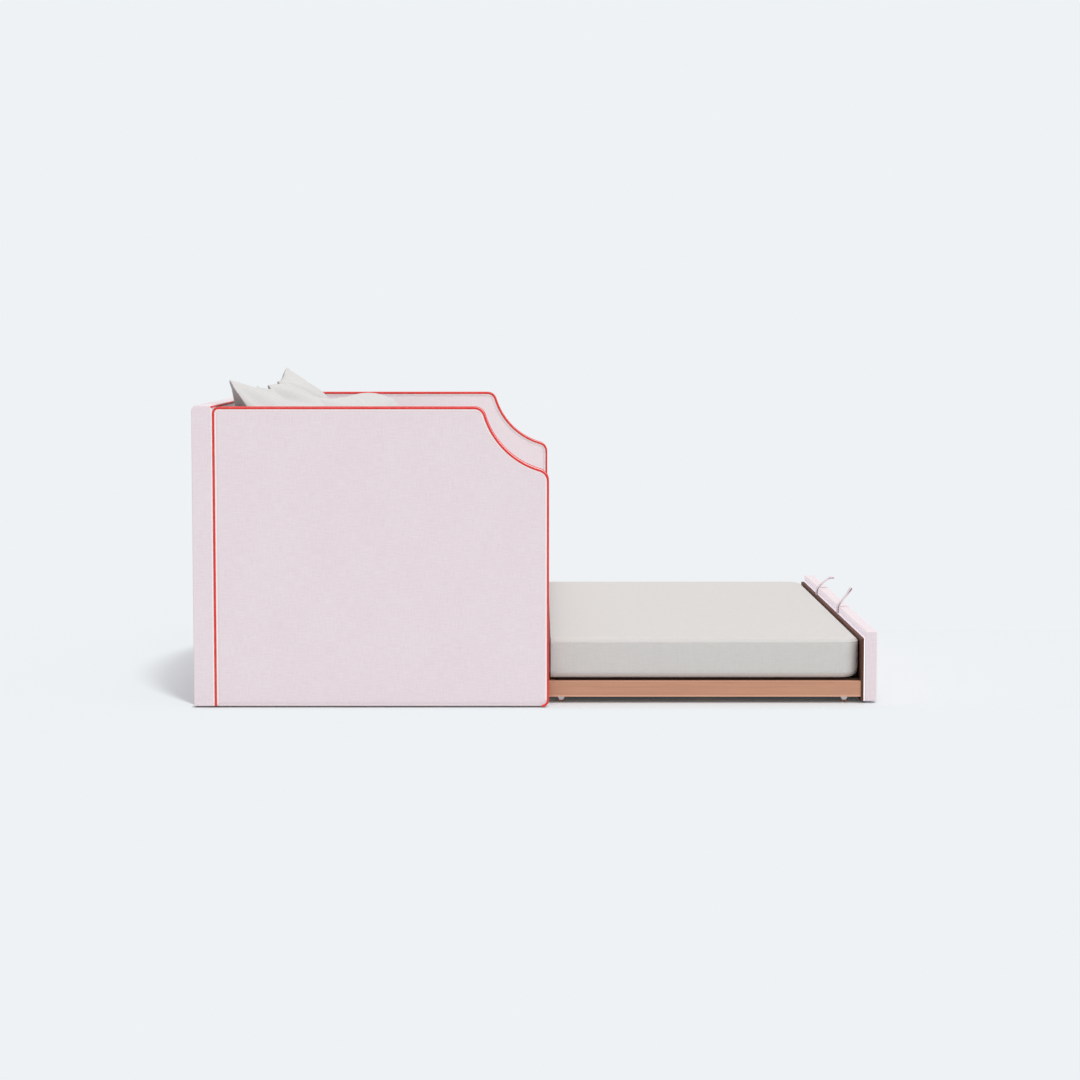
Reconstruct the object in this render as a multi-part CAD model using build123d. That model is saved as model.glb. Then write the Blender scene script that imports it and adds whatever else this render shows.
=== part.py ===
from build123d import *
import math
import os

os.makedirs("parts", exist_ok=True)

# An upholstered daybed for one person with a second bed on casters below it.
# Millimetres. +Z is up and -Y is the front, where the trundle pulls out.
# The origin is on the floor, under the middle of the box round the whole object
# with the trundle pulled out, which is how the object stands here.

# Sizes of the daybed
overall_length = 2100.0
arm_thickness = 90.0
arm_depth = 1035.0
back_thickness = 65.0
arm_height = 930.0
back_rise = 8.0
floor_gap = 4.0
inner_length = overall_length - 2 * arm_thickness
back_height = arm_height + back_rise

# Scooped front corner of each arm
scoop_length = 228.0
scoop_drop = 227.0
scoop_radius = 252.0
scoop_top_round = 33.0
scoop_front_round = 36.0
heel_round = 16.0
toe_round = 20.0
least_round = 0.5

# Upholstery: foam and linen together, over plywood skins on a timber frame
padding = 12.0
skin_thickness = 6.0
seat_gap = 0.3
soft_edge = 6.0
back_rear_round = 18.0
piping_radius = 3.3
piping_proud = 1.8
piping_turn = 4.0
piping_tuck = 6.0
piping_sides = 5
piping_inset = piping_radius - piping_proud
rebate = piping_inset + piping_radius + seat_gap

# Timber frames inside the arms and the back
front_stile = 90.0
stile_width = 45.0
frame_rail = 60.0
arm_bays = 4
back_stile = 60.0
back_bays = 8
middle_rail_bottom = 245.0
middle_rail_top = 315.0

# Front rail of the daybed, over the trundle
rail_bottom = 245.0
rail_height = 155.0
rail_thickness = 40.0
rail_recess = 6.0
rail_padding = 15.0
rail_wrap = 5.0

# Deck: slats from front to back on two ledgers
ledger_width = 30.0
ledger_height = 40.0
ledger_inset = 70.0
deck_bottom = 300.0
slat_count = 14
slat_width = 70.0
slat_thickness = 20.0
slat_margin = 55.0
slat_end_gap = 2.0
slat_chamfer = 2.0
tape_width = 25.0
tape_thickness = 1.2
tape_place_shares = (0.3, 0.7)

# Mattress of the daybed
mattress_end_gap = 7.5
mattress_side_gap = 12.0
mattress_thickness = 200.0
mattress_corner = 60.0
mattress_edge = 38.0

# Steel brackets of the front rail
bracket_thickness = 4.0
bracket_leg = 40.0
bracket_height = 80.0
bracket_bottom = 262.0

# Bolts that hold the arms to the back
bolt_radius = 4.0
bolt_head_radius = 7.5
bolt_head_sides = 6
bolt_head_height = 5.0
bolt_pocket = 18.0
bolt_pocket_depth = 6.0
bolt_hole_radius = 4.5
bolt_heights = (150.0, 700.0)
nut_width = 14.0
nut_length = 40.0
nut_setback = 25.0
nut_clearance = 0.2
thread_clearance = 0.1

# Nylon glides under the arms
glide_radius = 12.0
glide_setback = 60.0

# Pillows on the deck mattress: three against the back, a small one at one arm
pillow_names = ("left", "middle", "right")
pillow_gap = 6.0
pillow_end_gap = 13.5
pillow_height = 585.0
pillow_thickness = 200.0
pillow_tilt = 32.0
small_pillow_width = 360.0
small_pillow_height = 432.0
small_pillow_thickness = 120.0
small_pillow_tilt = 30.0
small_pillow_turn = 46.0
small_pillow_arm_setback = 400.0
small_pillow_back_setback = 435.0
pillow_facets = 8
pillow_seam_share = 0.05

# Trundle
trundle_depth = 1030.0
clear_of_arms = 2.0
trundle_side_gap = 8.0
panel_thickness = 38.0
panel_bottom = 6.0
panel_top = 227.0
panel_front_padding = 10.0
panel_wrap = 4.0
panel_edge = 5.0
board_thickness = 12.0
board_bottom = 7.0
board_top = 202.0
board_end_step = 2.0
trundle_rail_thickness = 20.0
trundle_rail_bottom = 20.0
trundle_rail_top = 70.0
trundle_rail_step = 4.0
trundle_ledger = 20.0
trundle_slat_bottom = 58.0
trundle_slat_thickness = 15.0
trundle_slat_count = 13
trundle_slat_width = 70.0
trundle_slat_margin = 12.0
beam_width = 40.0
beam_height = 25.0
trundle_mattress_end_gap = 12.0
trundle_mattress_front_gap = 6.0
trundle_mattress_rear_gap = 1.0
trundle_mattress_thickness = 132.0
trundle_mattress_corner = 40.0
trundle_mattress_edge = 28.0

# Fixed casters
wheel_radius = 12.5
wheel_width = 10.0
axle_radius = 3.0
axle_running_gap = 0.2
cheek_thickness = 1.8
cheek_gap = 0.6
cheek_foot_width = 11.0
cheek_foot_bottom = 6.5
plate_thickness = 2.0
plate_length = 36.0
plate_width = 34.0
plate_height = 31.0
block_length = 38.0
block_width = 50.0
front_caster_place = 99.0
rear_caster_setback = 39.0

# Pull straps: a ribbon sewn double, held between the inner board and the panel
strap_width = 26.0
strap_thickness = 3.2
strap_tail = 24.0
strap_slot_gap = 0.3
left_strap_share = 0.39
right_strap_share = 0.74
left_strap_stand = 30.0
left_strap_bend = 40.0
left_strap_lean = 48.0
left_strap_run = 38.0
left_strap_tip_bend = 20.0
left_strap_tip_lean = 30.0
left_strap_tip = 6.0
right_strap_stand = 30.0
right_strap_bend = 22.0
right_strap_lean = 58.0
right_strap_run = 28.0
right_strap_tip_bend = 30.0
right_strap_tip_lean = 90.0
right_strap_tip = 11.0

# One overrun for every cut that goes through a face
overrun = 5.0


def strap_points(stand, bend, lean, run, tip_bend, tip_lean, tip):
    """Centre line of a strap as (outward, up) from the board's top edge: corners and arc middles."""
    first = math.radians(lean)
    last = math.radians(tip_lean)
    turn = 1 if last > first else -1
    points = [(0, -strap_tail), (0, stand)]
    for angle in (first / 2, first):
        points.append((bend * (1 - math.cos(angle)), stand + bend * math.sin(angle)))
    out, up = points[-1]
    out += run * math.sin(first)
    up += run * math.cos(first)
    points.append((out, up))
    for angle in ((first + last) / 2, last):
        points.append((
            out + turn * tip_bend * (math.cos(first) - math.cos(angle)),
            up + turn * tip_bend * (math.sin(angle) - math.sin(first)),
        ))
    out, up = points[-1]
    points.append((out + tip * math.sin(last), up + tip * math.cos(last)))
    return points


left_strap = strap_points(
    left_strap_stand, left_strap_bend, left_strap_lean, left_strap_run,
    left_strap_tip_bend, left_strap_tip_lean, left_strap_tip,
)
right_strap = strap_points(
    right_strap_stand, right_strap_bend, right_strap_lean, right_strap_run,
    right_strap_tip_bend, right_strap_tip_lean, right_strap_tip,
)
strap_seat = strap_slot_gap + strap_thickness / 2
strap_overhang = right_strap[-1][0] - strap_seat - panel_thickness

# Places along Y, from the strap's tip at the front to the wall at the back
pull_out = trundle_depth + clear_of_arms
total_depth = arm_depth + back_thickness + pull_out + strap_overhang
panel_front_y = strap_overhang - total_depth / 2
arm_front_y = panel_front_y + pull_out
back_face_y = arm_front_y + arm_depth
back_rear_y = back_face_y + back_thickness
arm_back_y = back_face_y - piping_proud - seat_gap
panel_back_y = panel_front_y + panel_thickness
board_back_y = panel_back_y + board_thickness
trundle_rear_y = panel_front_y + trundle_depth

half_length = overall_length / 2
half_inner = inner_length / 2


def block(x_span, y_span, z_span):
    """A square-edged block between the low and the high end of each span."""
    spans = (x_span, y_span, z_span)
    middle = [(low + high) / 2 for low, high in spans]
    return Pos(*middle) * Box(*[high - low for low, high in spans])


def rod(start, end, radius):
    """A round rod from one point to another."""
    along = Vector(*end) - Vector(*start)
    place = Plane(origin=start, z_dir=along)
    return place * extrude(Circle(radius), amount=along.length)


def eased(slat):
    """A slat with its upper long edges eased."""
    return chamfer(slat.edges().filter_by(Axis.Y).group_by(Axis.Z)[-1], slat_chamfer)


def separate(pieces):
    """Like pieces that stay separate solids in one node."""
    return Compound([solid for piece in pieces for solid in piece.solids()])


def mirrored(piece):
    """The same piece at the other end of the daybed."""
    return mirror(piece, about=Plane.YZ)


def save(name, piece):
    export_step(piece, os.path.join("parts", name + ".step"))


def arc(centre, radius, start, end):
    """The arc round a centre from start to end, all given as (y, z)."""
    pull = [start[i] + end[i] - 2 * centre[i] for i in range(2)]
    size = math.hypot(*pull)
    middle = [centre[i] + radius * pull[i] / size for i in range(2)]
    return ThreePointArc((0, *start), (0, *middle), (0, *end))


def towards(centre, radius, target):
    """The point at the radius from a centre, towards another point."""
    step = [target[i] - centre[i] for i in range(2)]
    size = math.hypot(*step)
    return tuple(centre[i] + radius * step[i] / size for i in range(2))


def meeting(first, first_radius, second, second_radius):
    """Where two circles cross, on the upper front side."""
    step = [second[i] - first[i] for i in range(2)]
    apart = math.hypot(*step)
    along = (apart**2 + first_radius**2 - second_radius**2) / (2 * apart)
    aside = math.sqrt(first_radius**2 - along**2)
    unit = [value / apart for value in step]
    return (
        first[0] + along * unit[0] + aside * unit[1],
        first[1] + along * unit[1] - aside * unit[0],
    )


def arm_edges(inset, bottom, toe):
    """An arm's side outline drawn in by inset, from the foot of the back edge over the top.
    Without a toe the outline is a hidden one, square at its heel and toe."""
    top = arm_height - inset
    front = arm_front_y + inset
    back = arm_back_y - inset
    heel = max(heel_round - inset, least_round) if toe else 0
    brow = max(scoop_top_round - inset, least_round)
    chin = max(scoop_front_round - inset, least_round)
    hollow = scoop_radius + inset
    heel_centre = (back - heel, top - heel)
    brow_centre = (arm_front_y + scoop_length, top - brow)
    chin_centre = (front + chin, arm_height - scoop_drop)
    hollow_centre = meeting(brow_centre, hollow + brow, chin_centre, hollow + chin)
    brow_end = towards(brow_centre, brow, hollow_centre)
    chin_start = towards(chin_centre, chin, hollow_centre)
    edges = [Line((0, back, bottom), (0, back, top - heel))]
    if heel:
        edges.append(arc(heel_centre, heel, (back, top - heel), (back - heel, top)))
    edges += [
        Line((0, back - heel, top), (0, brow_centre[0], top)),
        arc(brow_centre, brow, (brow_centre[0], top), brow_end),
        arc(hollow_centre, hollow, brow_end, chin_start),
        arc(chin_centre, chin, chin_start, (front, chin_centre[1])),
        Line((0, front, chin_centre[1]), (0, front, bottom + toe)),
    ]
    if toe:
        toe_centre = (front + toe, bottom + toe)
        edges.append(arc(toe_centre, toe, (front, bottom + toe), (front + toe, bottom)))
    return edges


def arm_slab(inset, bottom, toe, x_span):
    """The arm's outline as a slab between two planes across X."""
    edges = arm_edges(inset, bottom, toe)
    edges.append(Line(edges[-1] @ 1, edges[0] @ 0))
    face = Pos(x_span[0], 0, 0) * make_face(edges)
    return extrude(face, amount=x_span[1] - x_span[0], dir=(1, 0, 0))


def arm_piping(x_place):
    """The piping cord along an edge of the arm, from the foot of the back to the toe."""
    low = floor_gap + piping_inset
    path = Pos(x_place, 0, 0) * Wire(arm_edges(piping_inset, low, toe_round - piping_inset))
    section = Plane(origin=path @ 0, z_dir=path % 0) * RegularPolygon(piping_radius, piping_sides)
    return sweep(section, path=path)


# Bolts through the back into cross nuts in the arms
bolt_x = -half_length + arm_thickness / 2
frame_inset = padding + seat_gap
back_frame_y = (back_face_y + frame_inset + skin_thickness, back_rear_y - frame_inset)
bolt_seat_y = back_frame_y[1] - bolt_pocket_depth
nut_y = arm_back_y - frame_inset - nut_setback
bolt_tip_y = nut_y - nut_width / 2
bolts = []
bolt_holes = []
bolt_pockets = []
nuts = []
nut_slots = []
for height in bolt_heights:
    seat = (bolt_x, bolt_seat_y, height)
    tip = (bolt_x, bolt_tip_y, height)
    head = Plane(origin=seat, z_dir=(0, 1, 0)) * RegularPolygon(bolt_head_radius, bolt_head_sides)
    bolts.append(extrude(head, amount=bolt_head_height) + rod(seat, tip, bolt_radius))
    bolt_holes.append(rod(seat, tip, bolt_hole_radius))
    bolt_pockets.append(block(
        (bolt_x - bolt_pocket / 2, bolt_x + bolt_pocket / 2),
        (bolt_seat_y, back_frame_y[1] + overrun),
        (height - bolt_pocket / 2, height + bolt_pocket / 2),
    ))
    nut = block(
        (bolt_x - nut_length / 2, bolt_x + nut_length / 2),
        (nut_y - nut_width / 2, nut_y + nut_width / 2),
        (height - nut_width / 2, height + nut_width / 2),
    )
    nuts.append(nut - rod(seat, tip, bolt_radius + thread_clearance))
    slot_half = nut_width / 2 + nut_clearance
    nut_slots.append(block(
        (bolt_x - nut_length / 2 - nut_clearance, bolt_x + arm_thickness / 2),
        (nut_y - slot_half, nut_y + slot_half),
        (height - slot_half, height + slot_half),
    ))

# Left arm, at the -X end: timber frame, plywood skins, padded cover and piping
arm_inner_x = -half_inner
frame_x = (-half_length + frame_inset + skin_thickness, arm_inner_x - frame_inset - skin_thickness)
arm_frame = arm_slab(frame_inset, floor_gap, 0, frame_x)
frame_back_y = arm_back_y - frame_inset
first_bay_y = arm_front_y + frame_inset + front_stile
bay_pitch = (frame_back_y - first_bay_y) / arm_bays
for bay in range(arm_bays):
    bay_y = first_bay_y + bay * bay_pitch
    bay_top = arm_height - frame_inset - frame_rail
    if bay_y < arm_front_y + scoop_length:
        bay_top = arm_height - scoop_drop - frame_rail
    arm_frame -= block(
        (frame_x[0] - overrun, frame_x[1] + overrun),
        (bay_y, bay_y + bay_pitch - stile_width),
        (floor_gap + frame_rail, bay_top),
    )
for hole in bolt_holes + nut_slots:
    arm_frame -= hole

outer_skin = arm_slab(frame_inset, floor_gap, 0, (frame_x[0] - skin_thickness, frame_x[0]))
inner_skin = arm_slab(frame_inset, floor_gap, 0, (frame_x[1], frame_x[1] + skin_thickness))

full_x = (-half_length + rebate, arm_inner_x - rebate)
rebate_toe = max(toe_round - rebate, least_round)
arm_cover = arm_slab(0, floor_gap, toe_round, full_x)
for x_span in ((-half_length, full_x[0]), (full_x[1], arm_inner_x)):
    arm_cover += arm_slab(rebate, floor_gap + rebate, rebate_toe, x_span)
cavity_x = (-half_length + padding, arm_inner_x - padding)
arm_cover -= arm_slab(padding, floor_gap - overrun, 0, cavity_x)
for hole in bolt_holes:
    arm_cover -= hole

outer_piping = arm_piping(-half_length + piping_inset)
inner_piping = arm_piping(arm_inner_x - piping_inset)

for side, turned in (("left", lambda piece: piece), ("right", mirrored)):
    save(side + "_arm_frame", turned(arm_frame))
    save(side + "_arm_skins", separate([turned(outer_skin), turned(inner_skin)]))
    save(side + "_arm_cover", turned(arm_cover))
    save(side + "_arm_outer_piping", turned(outer_piping))
    save(side + "_arm_inner_piping", turned(inner_piping))

# Back: timber frame with a plywood skin between its end posts, padded cover and piping
back_frame_x = half_length - frame_inset
back_frame_top = back_height - frame_inset
back_frame = block((-back_frame_x, back_frame_x), back_frame_y, (floor_gap, back_frame_top))
back_pitch = (2 * back_frame_x - back_stile) / back_bays
bay_rows = (
    (floor_gap + frame_rail, middle_rail_bottom),
    (middle_rail_top, back_frame_top - frame_rail),
)
for bay in range(back_bays):
    bay_x = -back_frame_x + back_stile + bay * back_pitch
    for row in bay_rows:
        back_frame -= block(
            (bay_x, bay_x + back_pitch - back_stile),
            (back_frame_y[0] - overrun, back_frame_y[1] + overrun),
            row,
        )
back_skin_y = (back_frame_y[0] - skin_thickness, back_frame_y[0])
back_skin = block((-half_inner, half_inner), back_skin_y, (floor_gap, back_frame_top))
end_post = block((-back_frame_x, -half_inner), back_skin_y, (floor_gap, back_frame_top))
back_frame += end_post
back_frame += mirrored(end_post)

back_cover = block((-half_length, half_length), (back_face_y, back_rear_y), (floor_gap, back_height))
rear_top = back_cover.edges().filter_by(Axis.X).group_by(Axis.Z)[-1].sort_by(Axis.Y)[-1]
back_cover = fillet(rear_top, back_rear_round)
back_cover -= block(
    (-half_length + padding, half_length - padding),
    (back_face_y + padding, back_rear_y - padding),
    (floor_gap - overrun, back_height - padding),
)
piping_end_x = half_length - piping_inset
piping_top = back_height - piping_inset
piping_low = piping_top - piping_turn - piping_tuck
rebate_y = (back_face_y - overrun, back_face_y + rebate)
rebate_z = (back_height - rebate, back_height + overrun)
back_cover -= block((-half_length - overrun, half_length + overrun), rebate_y, rebate_z)
end_notch = block(
    (-half_length - overrun, -half_length + rebate), rebate_y, (piping_low - seat_gap, back_height),
)
back_cover -= end_notch
back_cover -= mirrored(end_notch)

piping_y = back_face_y + piping_inset
piping_path = FilletPolyline(
    (-piping_end_x, piping_y, piping_low), (-piping_end_x, piping_y, piping_top),
    (piping_end_x, piping_y, piping_top), (piping_end_x, piping_y, piping_low),
    radius=piping_turn,
)
piping_section = Plane(origin=piping_path @ 0, z_dir=piping_path % 0)
piping_section *= RegularPolygon(piping_radius, piping_sides)
back_piping = sweep(piping_section, path=piping_path)

for hole in bolt_holes:
    for turned in (hole, mirrored(hole)):
        back_frame -= turned
        back_cover -= turned
for pocket in bolt_pockets:
    back_frame -= pocket
    back_frame -= mirrored(pocket)
save("back_frame", back_frame)
save("back_skin", back_skin)
save("back_cover", back_cover)
save("back_piping", back_piping)

# Front rail: a board wrapped in padding on three sides, with bare wood inside
rail_front_y = arm_front_y + rail_recess
rail_back_y = rail_front_y + rail_thickness
rail_top = rail_bottom + rail_height
rail_x = half_inner - seat_gap
rail_cover = block((-rail_x, rail_x), (rail_front_y, rail_back_y), (rail_bottom, rail_top))
rail_lips = rail_cover.edges().filter_by(Axis.X).group_by(Axis.Y)[0]
rail_cover = fillet(rail_lips, soft_edge)
board_y = (rail_front_y + rail_padding + seat_gap, rail_back_y)
rail_cavity_y = (rail_front_y + rail_padding, rail_back_y + overrun)
rail_cavity_z = (rail_bottom + rail_wrap, rail_top - rail_wrap)
rail_cover -= block((-half_inner, half_inner), rail_cavity_y, rail_cavity_z)
rail_board_z = (rail_cavity_z[0] + seat_gap, rail_cavity_z[1] - seat_gap)
rail_board = block((-rail_x, rail_x), board_y, rail_board_z)
save("front_rail_cover", rail_cover)
save("front_rail_board", rail_board)

# Ledgers, slats and the tapes that space the slats
ledger_end = half_inner - ledger_inset
ledger_bottom = deck_bottom - ledger_height
front_ledger_y = rail_back_y + ledger_width
rear_ledger_y = back_face_y - ledger_width
for name, y_span in (
    ("front_ledger", (rail_back_y, front_ledger_y)),
    ("rear_ledger", (rear_ledger_y, back_face_y)),
):
    save(name, block((-ledger_end, ledger_end), y_span, (ledger_bottom, deck_bottom)))

slat_y = (rail_back_y + slat_end_gap, back_face_y - slat_end_gap)
deck_top = deck_bottom + slat_thickness
slat_pitch = (inner_length - 2 * slat_margin - slat_width) / (slat_count - 1)
slats = []
for index in range(slat_count):
    slat_x = -half_inner + slat_margin + index * slat_pitch
    slat = block((slat_x, slat_x + slat_width), slat_y, (deck_bottom, deck_top))
    slats.append(eased(slat))
save("deck_slats", separate(slats))

tape_x = half_inner - slat_margin
tapes = []
for share in tape_place_shares:
    middle_y = front_ledger_y + share * (rear_ledger_y - front_ledger_y)
    tapes.append(block(
        (-tape_x, tape_x),
        (middle_y - tape_width / 2, middle_y + tape_width / 2),
        (deck_bottom - tape_thickness, deck_bottom),
    ))
save("deck_tapes", separate(tapes))

# Angle brackets between the front rail and the arms
bracket_inner_x = arm_inner_x + bracket_thickness
bracket_inner_y = rail_back_y + bracket_thickness
bracket_z = (bracket_bottom, bracket_bottom + bracket_height)
arm_leg = block((arm_inner_x, bracket_inner_x), (rail_back_y, rail_back_y + bracket_leg), bracket_z)
board_leg = block((arm_inner_x, arm_inner_x + bracket_leg), (rail_back_y, bracket_inner_y), bracket_z)
bracket = arm_leg + board_leg
save("rail_brackets", separate([bracket, mirrored(bracket)]))
save("arm_bolts", separate(bolts + [mirrored(bolt) for bolt in bolts]))
save("cross_nuts", separate(nuts + [mirrored(nut) for nut in nuts]))


def glide(x_place, y_place):
    """A nylon glide between the timber and the floor."""
    return Pos(x_place, y_place, 0) * extrude(Circle(glide_radius), amount=floor_gap)


glides = [glide(bolt_x, arm_front_y + glide_setback), glide(bolt_x, arm_back_y - glide_setback)]
glides += [mirrored(foot) for foot in glides]
save("glides", separate(glides))


def mattress(x_span, y_span, z_span, corner, edge):
    """A foam mattress in its sheet, with round corners, a soft top edge and an eased lower one."""
    body = block(x_span, y_span, z_span)
    body = fillet(body.edges().filter_by(Axis.Z), corner)
    body = fillet(body.faces().sort_by(Axis.Z)[-1].edges(), edge)
    return chamfer(body.faces().sort_by(Axis.Z)[0].edges(), edge / 2)


# Mattress on the deck
half_mattress = half_inner - mattress_end_gap
mattress_bottom = deck_top + seat_gap
mattress_top = mattress_bottom + mattress_thickness
save("daybed_mattress", mattress(
    (-half_mattress, half_mattress),
    (rail_back_y + mattress_side_gap, back_face_y - mattress_side_gap),
    (mattress_bottom, mattress_top),
    mattress_corner, mattress_edge,
))


def crown_circle(length, thickness):
    """Radius of a pillow's crown, and how far its centre lies beyond the middle plane."""
    half, rise = length / 2, thickness * (1 - pillow_seam_share) / 2
    radius = (half**2 + rise**2) / (2 * rise)
    return radius, radius - thickness / 2


def lens(length, thickness):
    """A pillow's outline: flat facets along two crowns that end in a thin seam."""
    radius, setback = crown_circle(length, thickness)
    places = [length * (step / pillow_facets - 1 / 2) for step in range(pillow_facets + 1)]
    rear = [(place, math.sqrt(radius**2 - place**2) - setback) for place in places]
    front = [(-place, -depth) for place, depth in rear]
    return make_face(Polyline(*rear, *front, close=True))


def pillow(width, height, thickness):
    """A pillow crowned both ways, upright at the origin, its depth along Y."""
    side = Pos(-width / 2, 0, 0) * Rot(0, -90, 0) * lens(height, thickness)
    plan = Pos(0, 0, -height / 2) * lens(width, thickness)
    return extrude(side, width, dir=(1, 0, 0)) & extrude(plan, height, dir=(0, 0, 1))


# Back pillows: they stand on the mattress and lean on the back's piping
lean = math.radians(pillow_tilt)
crown_radius, crown_setback = crown_circle(pillow_height, pillow_thickness)
seam_dip = pillow_thickness * pillow_seam_share / 2 * math.sin(lean)
pillow_z = mattress_top + seat_gap + seam_dip + pillow_height / 2 * math.cos(lean)
piping_z = back_height - piping_inset
crown_z = pillow_z + crown_setback * math.sin(lean)
reach = crown_radius + piping_radius + seat_gap
piped_y = back_face_y + piping_inset - math.sqrt(reach**2 - (piping_z - crown_z)**2)
crown_y = min(piped_y, back_face_y - seat_gap - crown_radius)
pillow_y = crown_y + crown_setback * math.cos(lean)
pillow_room = 2 * (half_mattress - pillow_end_gap)
pillow_pitch = (pillow_room + pillow_gap) / len(pillow_names)
pillow_width = pillow_pitch - pillow_gap
back_pillow = Rot(-pillow_tilt, 0, 0) * pillow(pillow_width, pillow_height, pillow_thickness)
for index, name in enumerate(pillow_names):
    pillow_x = pillow_width / 2 - pillow_room / 2 + index * pillow_pitch
    save("back_pillow_" + name, Pos(pillow_x, pillow_y, pillow_z) * back_pillow)

# Small pillow: it stands across the corner between the right arm and the back pillows
small_lean = math.radians(small_pillow_tilt)
small_dip = small_pillow_thickness * pillow_seam_share / 2 * math.sin(small_lean)
small_place = Pos(
    half_inner - small_pillow_arm_setback,
    back_face_y - small_pillow_back_setback,
    mattress_top + seat_gap + small_dip + small_pillow_height / 2 * math.cos(small_lean),
)
small_pillow = pillow(small_pillow_width, small_pillow_height, small_pillow_thickness)
small_turn = Rot(0, 0, -small_pillow_turn) * Rot(-small_pillow_tilt, 0, 0)
save("small_pillow", small_place * small_turn * small_pillow)

# Trundle front: a padded panel on a board, with a bare board behind it
panel_x = half_inner - trundle_side_gap
panel_cover = block((-panel_x, panel_x), (panel_front_y, panel_back_y), (panel_bottom, panel_top))
panel_cover = fillet(panel_cover.edges().group_by(Axis.Z)[-1], panel_edge)
panel_cover -= block(
    (-panel_x + panel_wrap, panel_x - panel_wrap),
    (panel_front_y + panel_front_padding, panel_back_y - panel_wrap),
    (panel_bottom - overrun, panel_top - panel_wrap),
)
panel_board_x = panel_x - panel_wrap - seat_gap
panel_board = block(
    (-panel_board_x, panel_board_x),
    (panel_front_y + panel_front_padding + seat_gap, panel_back_y - panel_wrap - seat_gap),
    (panel_bottom, panel_top - panel_wrap - seat_gap),
)
inner_board_x = panel_x - board_end_step
inner_board_z = (board_bottom, board_top)
inner_board = block((-inner_board_x, inner_board_x), (panel_back_y, board_back_y), inner_board_z)
strap_places = [-panel_x + share * 2 * panel_x for share in (left_strap_share, right_strap_share)]
slot_half = strap_width / 2 + strap_slot_gap
for place in strap_places:
    inner_board -= block(
        (place - slot_half, place + slot_half),
        (panel_back_y - overrun, panel_back_y + strap_thickness + 2 * strap_slot_gap),
        (board_top - strap_tail - strap_slot_gap, board_top + overrun),
    )
save("trundle_panel_cover", panel_cover)
save("trundle_panel_board", panel_board)
save("trundle_inner_board", inner_board)


def strap(points, place):
    """A flat strap swept along its centre line, which leans out over the panel."""
    spots = [(place, panel_back_y + strap_seat - out, board_top + up) for out, up in points]
    path = Wire([
        Line(spots[0], spots[1]),
        ThreePointArc(spots[1], spots[2], spots[3]),
        Line(spots[3], spots[4]),
        ThreePointArc(spots[4], spots[5], spots[6]),
        Line(spots[6], spots[7]),
    ])
    section = Plane(origin=spots[0], x_dir=(1, 0, 0), z_dir=(0, 0, 1))
    return sweep(section * Rectangle(strap_width, strap_thickness), path=path)


save("pull_strap_left", strap(left_strap, strap_places[0]))
save("pull_strap_right", strap(right_strap, strap_places[1]))

# Trundle frame: end rails, rear rail, ledgers and middle beam
end_rail_x = (-panel_x + trundle_rail_step, -panel_x + trundle_rail_step + trundle_rail_thickness)
rail_z = (trundle_rail_bottom, trundle_rail_top)
end_rail = block(end_rail_x, (board_back_y, trundle_rear_y), rail_z)
end_rail = chamfer(end_rail.edges().filter_by(Axis.Y), slat_chamfer)
save("trundle_left_rail", end_rail)
save("trundle_right_rail", mirrored(end_rail))
rear_rail_y = trundle_rear_y - trundle_rail_thickness
rear_rail = block((end_rail_x[1], -end_rail_x[1]), (rear_rail_y, trundle_rear_y), rail_z)
save("trundle_rear_rail", rear_rail)
ledger_end_x = -end_rail_x[1] - block_width - seat_gap
trundle_ledger_z = (trundle_slat_bottom - trundle_ledger, trundle_slat_bottom)
trundle_ledgers = [
    block((-ledger_end_x, ledger_end_x), y_span, trundle_ledger_z)
    for y_span in (
        (board_back_y, board_back_y + trundle_ledger),
        (rear_rail_y - trundle_ledger, rear_rail_y),
    )
]
save("trundle_ledgers", separate(trundle_ledgers))
beam_y = (board_back_y + rear_rail_y) / 2
save("trundle_beam", block(
    (end_rail_x[1], -end_rail_x[1]),
    (beam_y - beam_width / 2, beam_y + beam_width / 2),
    (trundle_slat_bottom - beam_height, trundle_slat_bottom),
))
trundle_deck_top = trundle_slat_bottom + trundle_slat_thickness
trundle_slat_y = (board_back_y + seat_gap, rear_rail_y - seat_gap)
trundle_slat_pitch = (
    -2 * end_rail_x[1] - 2 * trundle_slat_margin - trundle_slat_width
) / (trundle_slat_count - 1)
trundle_slat_z = (trundle_slat_bottom, trundle_deck_top)
trundle_slats = []
for index in range(trundle_slat_count):
    slat_x = end_rail_x[1] + trundle_slat_margin + index * trundle_slat_pitch
    slat = block((slat_x, slat_x + trundle_slat_width), trundle_slat_y, trundle_slat_z)
    trundle_slats.append(eased(slat))
save("trundle_slats", separate(trundle_slats))
half_trundle_mattress = panel_x - trundle_mattress_end_gap
trundle_mattress_z = trundle_deck_top + seat_gap
save("trundle_mattress", mattress(
    (-half_trundle_mattress, half_trundle_mattress),
    (board_back_y + trundle_mattress_front_gap, trundle_rear_y - trundle_mattress_rear_gap),
    (trundle_mattress_z, trundle_mattress_z + trundle_mattress_thickness),
    trundle_mattress_corner, trundle_mattress_edge,
))

# Casters: a block in each corner of the trundle frame carries a fixed fork
caster_x = end_rail_x[1] + plate_width / 2
plate_bottom = plate_height - plate_thickness
cheek_inner = wheel_width / 2 + cheek_gap
cheek_outer = cheek_inner + cheek_thickness


def caster_block(y_place):
    return block(
        (end_rail_x[1], end_rail_x[1] + block_width),
        (y_place - block_length / 2, y_place + block_length / 2),
        (plate_height, trundle_slat_bottom),
    )


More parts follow.
